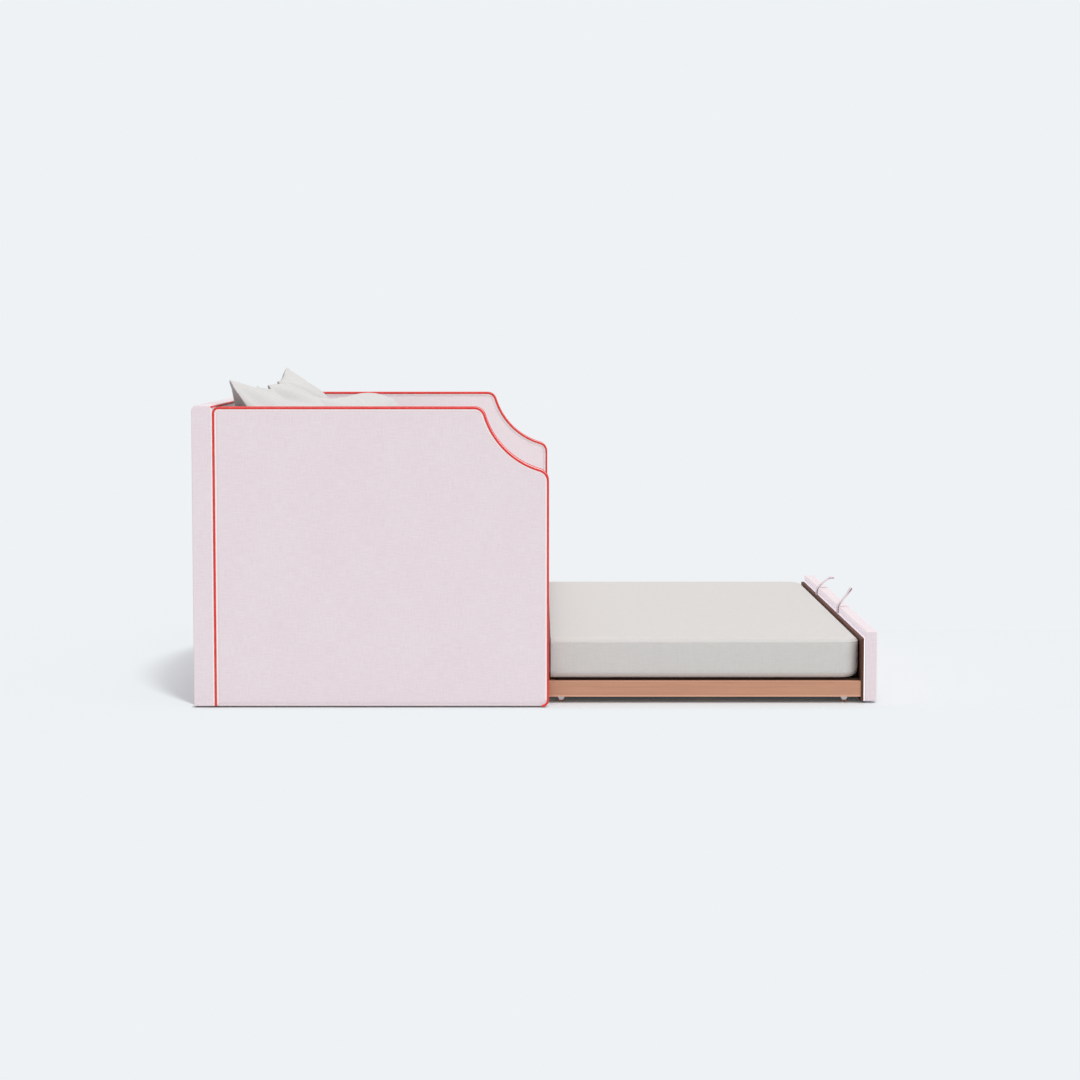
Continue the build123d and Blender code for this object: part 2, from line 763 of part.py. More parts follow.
def fork(y_place):
    """A pressed steel fork: a plate with two cheeks that narrow to the axle."""
    plate = block(
        (caster_x - plate_width / 2, caster_x + plate_width / 2),
        (y_place - plate_length / 2, y_place + plate_length / 2),
        (plate_bottom, plate_height),
    )
    side = Plane(origin=(caster_x, y_place, 0), x_dir=(0, 1, 0), z_dir=(1, 0, 0))
    outline = make_face(Polyline(
        (-plate_length / 2, plate_bottom), (plate_length / 2, plate_bottom),
        (cheek_foot_width / 2, cheek_foot_bottom), (-cheek_foot_width / 2, cheek_foot_bottom),
        close=True,
    ))
    for start in (-cheek_outer, cheek_inner):
        plate += side * Pos(0, 0, start) * extrude(outline, amount=cheek_thickness, dir=(0, 0, 1))
    return plate


def axle(y_place):
    """A pin held between the cheeks."""
    ends = [(caster_x + side, y_place, wheel_radius) for side in (-cheek_inner, cheek_inner)]
    return rod(*ends, axle_radius)


def wheel(y_place):
    """A moulded wheel that turns on the axle."""
    half = wheel_width / 2
    sides = [(caster_x + side, y_place, wheel_radius) for side in (-half, half)]
    return rod(*sides, wheel_radius) - rod(*sides, axle_radius + axle_running_gap)


caster_places = {
    "front": panel_front_y + front_caster_place,
    "rear": trundle_rear_y - rear_caster_setback,
}
blocks = [caster_block(y_place) for y_place in caster_places.values()]
forks = [fork(y_place) for y_place in caster_places.values()]
axles = [axle(y_place) for y_place in caster_places.values()]
save("caster_blocks", separate(blocks + [mirrored(piece) for piece in blocks]))
save("caster_forks", separate(forks + [mirrored(piece) for piece in forks]))
save("caster_axles", separate(axles + [mirrored(piece) for piece in axles]))
for name, y_place in caster_places.items():
    save("caster_wheel_left_" + name, wheel(y_place))
    save("caster_wheel_right_" + name, mirrored(wheel(y_place)))
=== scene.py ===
import math

import bmesh
import bpy
import numpy as np
from mathutils import Matrix, Vector


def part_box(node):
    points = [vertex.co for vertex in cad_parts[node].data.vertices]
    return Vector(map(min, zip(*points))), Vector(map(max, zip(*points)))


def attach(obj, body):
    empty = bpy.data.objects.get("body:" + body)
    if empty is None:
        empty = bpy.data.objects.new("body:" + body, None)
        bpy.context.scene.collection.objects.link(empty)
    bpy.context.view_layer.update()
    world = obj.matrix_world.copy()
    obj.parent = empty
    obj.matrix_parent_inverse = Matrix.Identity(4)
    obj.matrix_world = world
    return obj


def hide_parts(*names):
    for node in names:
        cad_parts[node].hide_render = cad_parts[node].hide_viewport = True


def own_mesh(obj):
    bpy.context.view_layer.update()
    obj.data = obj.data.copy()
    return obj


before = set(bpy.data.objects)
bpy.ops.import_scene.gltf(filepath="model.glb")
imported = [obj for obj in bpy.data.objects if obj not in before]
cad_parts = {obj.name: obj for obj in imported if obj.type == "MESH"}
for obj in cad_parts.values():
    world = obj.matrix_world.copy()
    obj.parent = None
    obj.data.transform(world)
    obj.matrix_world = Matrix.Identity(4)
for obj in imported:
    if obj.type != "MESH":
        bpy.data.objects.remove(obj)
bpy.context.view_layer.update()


# The room: a plain pale floor without edges, soft light from above, in front and the camera's side,
# and a camera that looks along the bed from its left end, as the photograph was taken.
class Signal:
    """A shader socket that can be used in sums. Each sum adds a Math node."""

    def __init__(self, finish, socket):
        self.finish = finish
        self.socket = socket

    def sum(self, operation, *values):
        return self.finish.node("Math", {"operation": operation}, dict(enumerate(values)))

    def __add__(self, other):
        return self.sum("ADD", self, other)

    def __radd__(self, other):
        return self.sum("ADD", other, self)

    def __sub__(self, other):
        return self.sum("SUBTRACT", self, other)

    def __rsub__(self, other):
        return self.sum("SUBTRACT", other, self)

    def __mul__(self, other):
        return self.sum("MULTIPLY", self, other)

    def __rmul__(self, other):
        return self.sum("MULTIPLY", other, self)

    def __gt__(self, other):
        return self.sum("GREATER_THAN", self, other)

    def __abs__(self):
        return self.sum("ABSOLUTE", self)

    def __getitem__(self, output):
        return Signal(self.finish, self.socket.node.outputs[output])


class Finish:
    """A node tree being wired, on a material or on the world."""

    def __init__(self, owner, **surface):
        owner.use_nodes = True
        self.owner = owner
        self.tree = owner.node_tree
        self.shader = self.tree.nodes.get("Principled BSDF")
        for name, value in surface.items():
            self.shader.inputs[name.replace("_", " ").title()].default_value = value

    def node(self, kind, settings, sockets):
        node = self.tree.nodes.new("ShaderNode" + kind)
        for name, value in settings.items():
            setattr(node, name, value)
        for name, value in sockets.items():
            if isinstance(value, Signal):
                self.tree.links.new(value.socket, node.inputs[name])
            else:
                node.inputs[name].default_value = value
        return Signal(self, node.outputs[0]) if node.outputs else None

    def wear(self, **links):
        for name, value in links.items():
            self.tree.links.new(value.socket, self.shader.inputs[name.replace("_", " ").title()])
        return self.owner


def shade(red, green, blue):
    """A colour as it shows on a screen, in steps of 255, turned into light."""
    steps = [step / 255 for step in (red, green, blue)]
    return tuple(s / 12.92 if s < 0.04045 else ((s + 0.055) / 1.055) ** 2.4 for s in steps) + (1.0,)


pale = shade(238, 242, 245)
world = Finish(bpy.context.scene.world or bpy.data.worlds.new("studio"))
bpy.context.scene.world = world.owner
world.tree.nodes.clear()
toward = world.node("SeparateXYZ", {}, {0: world.node("TexCoord", {}, {})["Generated"]})
height_light = world.node("Clamp", {}, {0: toward["Z"]})
base_light, top_light, end_light, front_light = 0.7, 0.25, 0.14, 0.25
brightness = base_light + top_light * height_light - end_light * toward["X"] - front_light * toward["Y"]
soft_light = world.node("Background", {}, {"Color": (1.0, 0.995, 0.985, 1.0), "Strength": brightness})
backdrop = world.node("Background", {}, {"Color": pale, "Strength": 1.0})
ray = world.node("LightPath", {}, {})
seen = ray["Is Camera Ray"] + ray["Is Glossy Ray"] + ray["Is Transmission Ray"]
mixed = world.node("MixShader", {}, {0: seen, 1: soft_light, 2: backdrop})
world.node("OutputWorld", {}, {0: mixed})

bpy.context.scene.view_settings.view_transform = "Standard"
sun_data = bpy.data.lights.new("window_light", "SUN")
sun_data.energy = 0.9
sun_data.angle = math.radians(24)
sun = bpy.data.objects.new("window_light", sun_data)
sun.rotation_euler = Vector((-0.22, -0.24, 1.0)).to_track_quat("Z", "Y").to_euler()
bpy.context.scene.collection.objects.link(sun)

bpy.ops.object.select_all(action="DESELECT")
bpy.ops.mesh.primitive_plane_add(size=60)
floor = bpy.context.object
floor.name = "floor"
floor_finish = Finish(bpy.data.materials.new("pale_floor"))
floor_finish.tree.nodes.remove(floor_finish.shader)
floor_share = 0.875
floor_colour = tuple(floor_share * part for part in pale[:3]) + (1.0,)
matt = floor_finish.node("BsdfDiffuse", {}, {"Color": floor_colour})
glow = floor_finish.node("Emission", {}, {"Color": pale, "Strength": 1.0})
places = floor_finish.node("SeparateXYZ", {}, {0: floor_finish.node("TexCoord", {}, {})["Object"]})
shadow_depth, shadow_core, end_fade = 0.36, 0.53, (1.055, 1.12)
least_wash, full_wash = 0.04, 0.9
behind = places["Y"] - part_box("back_cover")[1].y
bow = shadow_depth - shadow_depth * places["X"] * places["X"]
reach = floor_finish.node("Math", {"operation": "MAXIMUM"}, {0: bow, 1: 0.01})
washed = floor_finish.node(
    "MapRange", {"interpolation_type": "SMOOTHSTEP"},
    {0: behind - shadow_core * reach, 1: 0.0, 2: (1 - shadow_core) * reach, 3: least_wash, 4: full_wash},
)
beyond = floor_finish.node(
    "MapRange", {}, {0: abs(places["X"]), 1: end_fade[0], 2: end_fade[1], 3: least_wash, 4: full_wash}
)
open_floor = floor_finish.node("Math", {"operation": "MAXIMUM"}, {0: washed, 1: beyond})
lit_floor = floor_finish.node("MixShader", {}, {0: open_floor, 1: matt, 2: glow})
floor_finish.tree.links.new(lit_floor.socket, floor_finish.tree.nodes["Material Output"].inputs[0])
floor.data.materials.append(floor_finish.owner)

camera_data = bpy.data.cameras.new("camera")
camera_data.lens = 87.37
camera_data.sensor_width = 36.0
camera_data.clip_end = 200.0
camera = bpy.data.objects.new("camera", camera_data)
camera.location = (-9.12, 0.0025, 1.162)
camera.rotation_euler = (math.radians(90 - 4.534), 0, math.radians(-90))
bpy.context.scene.collection.objects.link(camera)
bpy.context.scene.camera = camera


# The arms: foam-padded panels in pale pink linen, scooped out at their front top corners.
# Each is two flat faces and a band between them, pulled tight and sewn at the edges.
def blend_of(finish, mask, under, over):
    """One colour over another, by a mask."""
    return finish.node("Mix", {"data_type": "RGBA"}, {0: mask, 6: under, 7: over})[2]


def noise(finish, places, scale, stretch, detail):
    """Cloudy variation, stretched along the axes by the given shares."""
    mapped = finish.node("Mapping", {}, {0: places, "Scale": tuple(scale * share for share in stretch)})
    return finish.node("TexNoise", {}, {"Vector": mapped, "Scale": 1.0, "Detail": detail})


def cloth_finish(name, thread, light, pitch, mottle, sheen):
    """Woven cloth: crossing threads with slubs, and a slow cloudiness over the whole width."""
    cloud_scale, thread_scale, run = 7.0, 420.0, 0.06
    weave_height, slub_height = 0.25, 1.6
    finish = Finish(bpy.data.materials.new(name), Roughness=0.85, Sheen_Weight=sheen)
    places = finish.node("TexCoord", {}, {})["Object"]
    cloud = noise(finish, places, cloud_scale, (1, 1, 1), 3.0)
    directions = ((run, 1, 1), (1, run, 1), (1, 1, run))
    slubs = [noise(finish, places, thread_scale, stretch, 1.0) for stretch in directions]
    thick = (slubs[0] + slubs[1] + slubs[2]) * (1 / 3)
    marks = finish.node("MapRange", {}, {0: thick, 1: 0.4, 2: 0.6})
    tone = finish.node("MapRange", {}, {0: cloud, 1: 0.3, 2: 0.7})
    colour = blend_of(finish, tone * mottle + marks * (1 - mottle), thread, light)
    axes = finish.node("SeparateXYZ", {}, {0: places})
    turns = [axes[axis] * (2 * math.pi / pitch) for axis in "XYZ"]
    waves = [finish.node("Math", {"operation": "SINE"}, {0: turn}) for turn in turns]
    relief = (waves[0] + waves[1] + waves[2]) * weave_height + thick * slub_height
    bump = finish.node("Bump", {}, {"Height": relief, "Distance": pitch * 0.12, "Strength": 0.5})
    return finish.wear(Base_Color=colour, Normal=bump)


def painted_glow(cloth, strength):
    """Makes a pale cloth glow with its own light: a painted glow that brightens it where it lies in shade."""
    shader = cloth.node_tree.nodes["Principled BSDF"]
    shader.inputs["Emission Color"].default_value = shade(236, 226, 238)
    shader.inputs["Emission Strength"].default_value = strength


def draw_from(place):
    """Starts a drawn line with one point, made from a plane."""
    bpy.ops.object.select_all(action="DESELECT")
    bpy.ops.mesh.primitive_plane_add(size=0.01, location=place)
    bpy.ops.object.mode_set(mode="EDIT")
    bpy.ops.mesh.merge(type="CENTER")


def draw_by(*offset):
    """Draws the line on by a straight length."""
    bpy.ops.mesh.extrude_region_move(TRANSFORM_OT_translate={"value": offset})


def draw_round(x_place, centre, degrees, steps):
    """Turns the line's last point round a centre, positive from the top towards the back."""
    turn = math.radians(degrees)
    bpy.ops.mesh.spin(steps=steps, angle=turn, center=(x_place, *centre), axis=(1, 0, 0))


def pick(piece, kind, wanted):
    """Selects a piece's faces, edges or verts by a test, in edit mode."""
    form = bmesh.from_edit_mesh(piece.data)
    form.faces.ensure_lookup_table()
    form.normal_update()
    for element in [*form.verts, *form.edges, *form.faces]:
        element.select = False
    for element in getattr(form, kind):
        if wanted(element):
            element.select_set(True)
    bmesh.update_edit_mesh(piece.data)


def middle_of(edge):
    """The middle of an edge."""
    return (edge.verts[0].co + edge.verts[1].co) / 2


def settle(piece, name, finishes, body, slot, *nodes):
    """Names a finished piece, keeps its place in its mesh and ties it to the frame."""
    if bpy.context.object and bpy.context.object.mode == "EDIT":
        bpy.ops.object.mode_set(mode="OBJECT")
    piece.name = name
    piece.data.name = name
    bpy.ops.object.select_all(action="DESELECT")
    piece.select_set(True)
    bpy.context.view_layer.objects.active = piece
    bpy.ops.object.transform_apply(location=True, rotation=True, scale=True)
    for finish in finishes:
        piece.data.materials.append(finish)
    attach(piece, body)
    if nodes:
        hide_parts(*nodes)


def smooth(piece, degrees):
    """Shades a piece smoothly, with its flat sides kept flat."""
    bpy.ops.object.select_all(action="DESELECT")
    piece.select_set(True)
    bpy.context.view_layer.objects.active = piece
    bpy.ops.object.shade_smooth_by_angle(angle=math.radians(degrees))
    piece.modifiers.new("normals", "WEIGHTED_NORMAL").keep_sharp = True
    bpy.ops.object.modifier_apply(modifier="normals")


scoop_length, scoop_drop, scoop_radius = 0.228, 0.227, 0.252
brow_round, chin_round, heel_round, toe_round = 0.033, 0.036, 0.016, 0.020
arm_low, arm_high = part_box("left_arm_cover")


def degrees_of(start, end):
    """The direction from one point to another, in degrees."""
    return math.degrees(math.atan2(end[1] - start[1], end[0] - start[0]))


def arm_outline(x_place, inset, foot, toe):
    """Draws an arm's side outline from the foot of its back edge over the top to its toe."""
    front, back, top = arm_low.y + inset, arm_high.y - inset, arm_high.z - inset
    heel, brow, chin = heel_round - inset, brow_round - inset, chin_round - inset
    hollow = scoop_radius + inset
    brow_centre = Vector((arm_low.y + scoop_length, top - brow))
    chin_centre = Vector((front + chin, arm_high.z - scoop_drop))
    span = chin_centre - brow_centre
    along = (span.length_squared + (hollow + brow) ** 2 - (hollow + chin) ** 2) / (2 * span.length)
    aside = math.sqrt((hollow + brow) ** 2 - along**2)
    unit = span.normalized()
    hollow_centre = brow_centre + unit * along + Vector((unit.y, -unit.x)) * aside
    lean_in = degrees_of(brow_centre, hollow_centre)
    lean_out = degrees_of(chin_centre, hollow_centre)
    draw_from((x_place, back, foot))
    draw_by(0, 0, top - heel - foot)
    draw_round(x_place, (back - heel, top - heel), -90, 6)
    draw_by(0, brow_centre[0] - back + heel, 0)
    draw_round(x_place, brow_centre, 90 - lean_in, 8)
    draw_round(x_place, hollow_centre, lean_in - lean_out + 360 * (lean_out > lean_in), 28)
    draw_round(x_place, chin_centre, lean_out - 180, 10)
    draw_by(0, 0, foot + toe - chin_centre[1])
    draw_round(x_place, (front + toe, foot + toe), -90, 6)
    return bpy.context.object


linen = cloth_finish("pink_linen", shade(231, 216, 222), shade(238, 226, 230), 0.0016, 0.15, 0.2)
# Near-white linen for a narrow ring just inside each arm's rim and for the back's front edges: a painted
# highlight where the edge catches the light.
highlight_linen = cloth_finish(
    "linen_painted_highlight", shade(251, 251, 252), shade(255, 255, 255), 0.0016, 0.12, 0.2
)
# A lighter, paler copy of the linen for the arms' inner faces: painted light, standing in for the light these
# faces lose between the arms.
painted_light_linen = cloth_finish("pink_linen_inside_painted_light", shade(246, 233, 240), shade(252, 240, 246), 0.0016, 0.15, 0.2)
dust_cloth = cloth_finish("dust_cloth", shade(58, 58, 60), shade(72, 72, 74), 0.002, 0.3, 0.0)
rim, ring_width, ring_margin, crown_rise = 0.0042, 0.005, 0.02, 0.0018
crown_steps = ((0.65, 0.003), (0.35, 0.0026))
for side in ("left", "right"):
    low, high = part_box(side + "_arm_cover")
    arm = arm_outline(low.x + crown_rise, 0.0, low.z, toe_round)
    bpy.ops.mesh.select_all(action="SELECT")
    bpy.ops.mesh.edge_face_add()
    bpy.ops.mesh.extrude_region_move(
        TRANSFORM_OT_translate={"value": (high.x - low.x - 2 * crown_rise, 0, 0)}
    )
    bpy.ops.mesh.select_all(action="SELECT")
    bpy.ops.mesh.normals_make_consistent(inside=False)
    pick(arm, "edges",
         lambda edge: sorted(abs(face.normal.x) > 0.9 for face in edge.link_faces) == [False, True])
    bpy.ops.mesh.bevel(offset=rim, segments=3, profile=0.5)
    pick(arm, "faces", lambda face: abs(face.normal.x) > 0.99)
    bpy.ops.mesh.inset(thickness=ring_width, depth=0.0)
    ring = [face.index for face in bmesh.from_edit_mesh(arm.data).faces
            if not face.select and abs(face.normal.x) > 0.99]
    for rise_share, width in crown_steps:
        bpy.ops.mesh.inset(thickness=width, depth=crown_rise * rise_share)
    bpy.ops.object.mode_set(mode="OBJECT")
    inward = 1 if side == "left" else -1
    # Bottom faces take the dust cloth; inner faces take the paler copy of the linen, which is painted light.
    for face in arm.data.polygons:
        if face.normal.z < -0.9:
            face.material_index = 2
        elif face.normal.x * inward > 0.99:
            face.material_index = 3
    # The ring faces, except along the bottom and the rear, take the near-white linen: a painted highlight.
    for index in ring:
        place = arm.data.polygons[index].center
        if place.z > low.z + ring_margin and place.y < high.y - ring_margin:
            arm.data.polygons[index].material_index = 1
    smooth(arm, 50)
    settle(arm, side + "_arm_linen", (linen, highlight_linen, dust_cloth, painted_light_linen), "daybed", "linen",
           side + "_arm_cover")


# Piping: a cord in a folded red strip, sewn in along both edges of each arm and along the front
# top edge of the back. It stands a little proud of the linen on both sides of the seam.
def cord_finish(name, dark, bright, pitch):
    """Tightly wrapped red cloth with a fine slanting weave."""
    finish = Finish(bpy.data.materials.new(name), Roughness=0.6, Sheen_Weight=0.15)
    places = finish.node("TexCoord", {}, {})["Object"]
    axes = finish.node("SeparateXYZ", {}, {0: places})
    slant = (axes["X"] + axes["Y"] + axes["Z"]) * (2 * math.pi / pitch)
    wave = finish.node("Math", {"operation": "SINE"}, {0: slant})
    worn = noise(finish, places, 90.0, (1, 1, 1), 3.0)
    tone = finish.node("MapRange", {}, {0: worn + wave * 0.1, 1: 0.3, 2: 0.7})
    bump = finish.node("Bump", {}, {"Height": wave, "Distance": pitch * 0.1, "Strength": 0.6})
    return finish.wear(Base_Color=blend_of(finish, tone, dark, bright), Normal=bump)


def corded(piece, radius):
    """Gives a drawn line the thickness of a cord, with round ends."""
    bpy.ops.object.mode_set(mode="OBJECT")
    bpy.ops.object.convert(target="CURVE")
    cord = bpy.context.object
    cord.data.bevel_depth = radius
    cord.data.bevel_resolution = 3
    cord.data.use_fill_caps = True
    bpy.ops.object.convert(target="MESH")
    cord = bpy.context.object
    bpy.ops.object.shade_smooth()
    return cord


piping_red = cord_finish("red_piping", shade(216, 30, 24), shade(242, 50, 42), 0.0018)
piping_inset, piping_thickness = 0.0012, 0.0034
for side in ("left", "right"):
    for edge in ("outer", "inner"):
        node = side + "_arm_" + edge + "_piping"
        low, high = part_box(node)
        centre_x = (low.x + high.x) / 2
        line = arm_outline(centre_x, piping_inset, arm_low.z + piping_inset, toe_round - piping_inset)
        settle(corded(line, piping_thickness), side + "_arm_" + edge + "_cord", (piping_red,), "daybed",
               "piping", node)
low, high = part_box("back_piping")
draw_from((low.x, (low.y + high.y) / 2, (low.z + high.z) / 2))
draw_by(high.x - low.x, 0, 0)
settle(corded(bpy.context.object, piping_thickness), "back_cord", (piping_red,), "daybed",
       "piping", "back_piping")


# The back: a timber panel behind the arms, padded with foam under one long linen cover. The cover
# is sewn square at its front edges and rolls softly over the rear top edge.
def add_block(low, high):
    """A block at its size and place, in edit mode."""
    bpy.ops.object.select_all(action="DESELECT")
    bpy.ops.mesh.primitive_cube_add(size=1, location=(low + high) / 2, scale=high - low)
    block = bpy.context.object
    bpy.ops.object.transform_apply(location=True, rotation=True, scale=True)
    bpy.ops.object.mode_set(mode="EDIT")
    return block


low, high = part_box("back_cover")
rear_top_round, seam_width, crown_width, back_crown = 0.018, 0.006, 0.008, 0.0008
back = add_block(low, high)
pick(back, "edges", lambda edge: middle_of(edge).y > high.y - 0.001 and middle_of(edge).z > high.z - 0.001)
bpy.ops.mesh.bevel(offset=rear_top_round, segments=8, profile=0.5)
pick(back, "edges", lambda edge: edge.calc_face_angle(0) > math.radians(60))
bpy.ops.mesh.bevel(offset=rim, segments=3, profile=0.5)
pick(back, "faces", lambda face: abs(face.normal.y) > 0.99)
bpy.ops.mesh.inset(thickness=seam_width, depth=0.0)
bpy.ops.mesh.inset(thickness=crown_width, depth=back_crown)
bpy.ops.object.mode_set(mode="OBJECT")
for face in back.data.polygons:
    if face.normal.z < -0.9:
        face.material_index = 1
    # The rounded front edges at both ends take the near-white linen: a painted highlight.
    elif face.center.y < low.y + rim and abs(face.center.x) > high.x - rim:
        face.material_index = 2
smooth(back, 50)
settle(back, "back_linen", (linen, dust_cloth, highlight_linen), "daybed", "linen", "back_cover")


# The front rail and the trundle's front: boards padded with foam under the same linen,
# the cover wrapped over the edges and stapled behind.
# A paler linen that glows a little, for the rear faces of the trundle's front: painted light where they lie
# in shade.
glowing_rear_linen = cloth_finish("pink_linen_behind_painted_glow", shade(238, 226, 236), shade(244, 234, 242), 0.0016, 0.15, 0.2)
painted_glow(glowing_rear_linen, 0.3)
board_crown = ((0.0, 0.004), (0.0007, 0.01), (0.0005, 0.025))
for node, name, body in (
    ("front_rail_cover", "front_rail_linen", "daybed"),
    ("trundle_panel_cover", "trundle_front_linen", "trundle"),
):
    low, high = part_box(node)
    padded_board = add_block(low, high)
    pick(padded_board, "edges", lambda edge: True)
    bpy.ops.mesh.bevel(offset=rim, segments=4, profile=0.5)
    for rise, width in board_crown:
        pick(padded_board, "faces", lambda face: face.normal.y < -0.99 and face.calc_area() > 0.1)
        bpy.ops.mesh.inset(thickness=width, depth=rise)
    bpy.ops.object.mode_set(mode="OBJECT")
    # The trundle front's rear faces take the glowing linen: painted light.
    for face in padded_board.data.polygons:
        face.material_index = int(body == "trundle" and face.normal.y > 0.9)
    smooth(padded_board, 50)
    settle(padded_board, name, (linen, glowing_rear_linen), body, "linen", node)


# Timber and steel that stay as the frame has them: stained rails, a dark stained board,
# bare pine slats and ledgers, plywood skins, and zinc-plated brackets, bolts and casters.
def wood_finish(name, dark, light, along, roughness):
    """Wood with its grain along one axis: long fibres, and slower bands between them."""
    finish = Finish(bpy.data.materials.new(name), Roughness=roughness)
    places = finish.node("TexCoord", {}, {})["Object"]
    fibre_scale, band_scale, grain_run = 260.0, 38.0, 0.035
    stretch = [1.0, 1.0, 1.0]
    stretch["XYZ".index(along)] = grain_run
    fibre = noise(finish, places, fibre_scale, stretch, 5.0)
    band = noise(finish, places, band_scale, stretch, 2.0)
    tone = finish.node("MapRange", {}, {0: fibre * 0.5 + band * 0.5, 1: 0.36, 2: 0.64})
    bump = finish.node("Bump", {}, {"Height": fibre, "Distance": 0.0002, "Strength": 0.4})
    return finish, blend_of(finish, tone, dark, light), bump


def metal_finish(name, colour, roughness):
    """Bright plated steel with a faint cloudiness."""
    finish = Finish(bpy.data.materials.new(name), Base_Color=colour, Metallic=1.0)
    places = finish.node("TexCoord", {}, {})["Object"]
    cloud = noise(finish, places, 300.0, (1, 1, 1), 4.0)
    return finish.wear(Roughness=roughness + cloud * 0.2)


def dress(finish, *nodes):
    """Gives nodes of the frame their finish."""
    for node in nodes:
        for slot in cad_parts[node].material_slots:
            slot.material = finish


highlight_from, highlight_full = 0.026, 0.021
for along, nodes in (
    ("X", ("trundle_rear_rail",)),
    ("Y", ("trundle_left_rail", "trundle_right_rail")),
):
    finish, colour, bump = wood_finish(
        "copper_stain_" + along, shade(193, 139, 111), shade(203, 150, 121), along, 0.6
    )
    # The rails are painted lighter along their lower edge: a painted highlight where the rounded edge catches
    # the light.
    height = finish.node("SeparateXYZ", {}, {0: finish.node("TexCoord", {}, {})["Object"]})["Z"]
    edge_highlight = finish.node("MapRange", {}, {0: height, 1: highlight_from, 2: highlight_full})
    colour = blend_of(finish, edge_highlight, colour, shade(244, 190, 160))
    dress(finish.wear(Base_Color=colour, Normal=bump), *nodes)

finish, colour, bump = wood_finish("dark_stain", shade(84, 50, 38), shade(108, 68, 52), "X", 0.7)
finish.shader.inputs["Specular IOR Level"].default_value = 0.2
length_place = finish.node("SeparateXYZ", {}, {0: finish.node("TexCoord", {}, {})["Object"]})["X"]
end_grain_from = 0.9492
end_grain = abs(length_place) > end_grain_from
colour = blend_of(finish, end_grain, colour, shade(88, 56, 42))
dress(finish.wear(Base_Color=colour, Normal=bump), "trundle_inner_board")

finish, colour, bump = wood_finish("dark_stain_below", shade(58, 38, 30), shade(78, 52, 41), "Y", 0.8)
dress(finish.wear(Base_Color=colour, Normal=bump), "trundle_slats", "trundle_ledgers")

for along, nodes in (
    ("X", ("front_ledger", "rear_ledger", "trundle_beam", "front_rail_board", "trundle_panel_board",
           "back_frame")),
    ("Y", ("deck_slats", "left_arm_frame", "right_arm_frame")),
    ("Z", ("caster_blocks",)),
):
    finish, colour, bump = wood_finish(
        "pine_" + along, shade(206, 172, 128), shade(233, 205, 166), along, 0.6
    )
    dress(finish.wear(Base_Color=colour, Normal=bump), *nodes)
finish, colour, bump = wood_finish("birch_plywood", shade(204, 178, 142), shade(226, 204, 172), "Z", 0.6)
dress(finish.wear(Base_Color=colour, Normal=bump), "left_arm_skins", "right_arm_skins", "back_skin")
zinc = metal_finish("zinc_plate", shade(204, 205, 208), 0.28)
dress(zinc, "rail_brackets", "arm_bolts", "cross_nuts", "caster_forks", "caster_axles")
webbing_tape = cloth_finish("deck_tape", shade(214, 212, 206), shade(232, 230, 226), 0.0015, 0.4, 0.0)
dress(webbing_tape, "deck_tapes")
glide_nylon = Finish(bpy.data.materials.new("glide_nylon"), Base_Color=shade(120, 120, 122), Roughness=0.5)
dress(glide_nylon.owner, "glides")


# The edge tape: white cotton tape glued over the bare inner board, along its top edge and down
# both of its ends, where the stain stops. It belongs to the board and rides out with it.
board_low, board_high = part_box("trundle_inner_board")
tape_depth, tape_rise, tape_round = 0.0018, 0.0036, 0.0003
glowing_tape_cotton = cloth_finish("edge_tape", shade(246, 240, 250), shade(253, 250, 255), 0.001, 0.3, 0.0)
# The tape glows a little: a painted glow that keeps it bright in the shade behind the trundle's front.
painted_glow(glowing_tape_cotton, 0.35)
for name, low, high in (
    ("edge_tape_top", Vector((board_low.x, board_low.y, board_high.z)),
     Vector((board_high.x, board_low.y + tape_depth, board_high.z + tape_rise))),
    ("edge_tape_left", Vector((board_low.x - tape_depth / 2, board_low.y, board_low.z)),
     Vector((board_low.x, board_low.y + tape_rise, board_high.z))),
    ("edge_tape_right", Vector((board_high.x, board_low.y, board_low.z)),
     Vector((board_high.x + tape_depth / 2, board_low.y + tape_rise, board_high.z))),
):
    tape = add_block(low, high)
    bpy.ops.mesh.select_all(action="SELECT")
    bpy.ops.mesh.bevel(offset=tape_round, segments=2, profile=0.5)
    bpy.ops.object.mode_set(mode="OBJECT")
    smooth(tape, 50)
    settle(tape, name, (glowing_tape_cotton,), "trundle", "linen")


# Both mattresses: blocks of foam in a fitted cotton sheet, with rounded corners and soft edges,
# and a fine cord sewn round them above and below. They lie loose on their slats.
def draw_flat(centre):
    """Turns the line's last point a quarter round a level corner."""
    bpy.ops.mesh.spin(steps=6, angle=-math.pi / 2, center=centre, axis=(0, 0, 1))


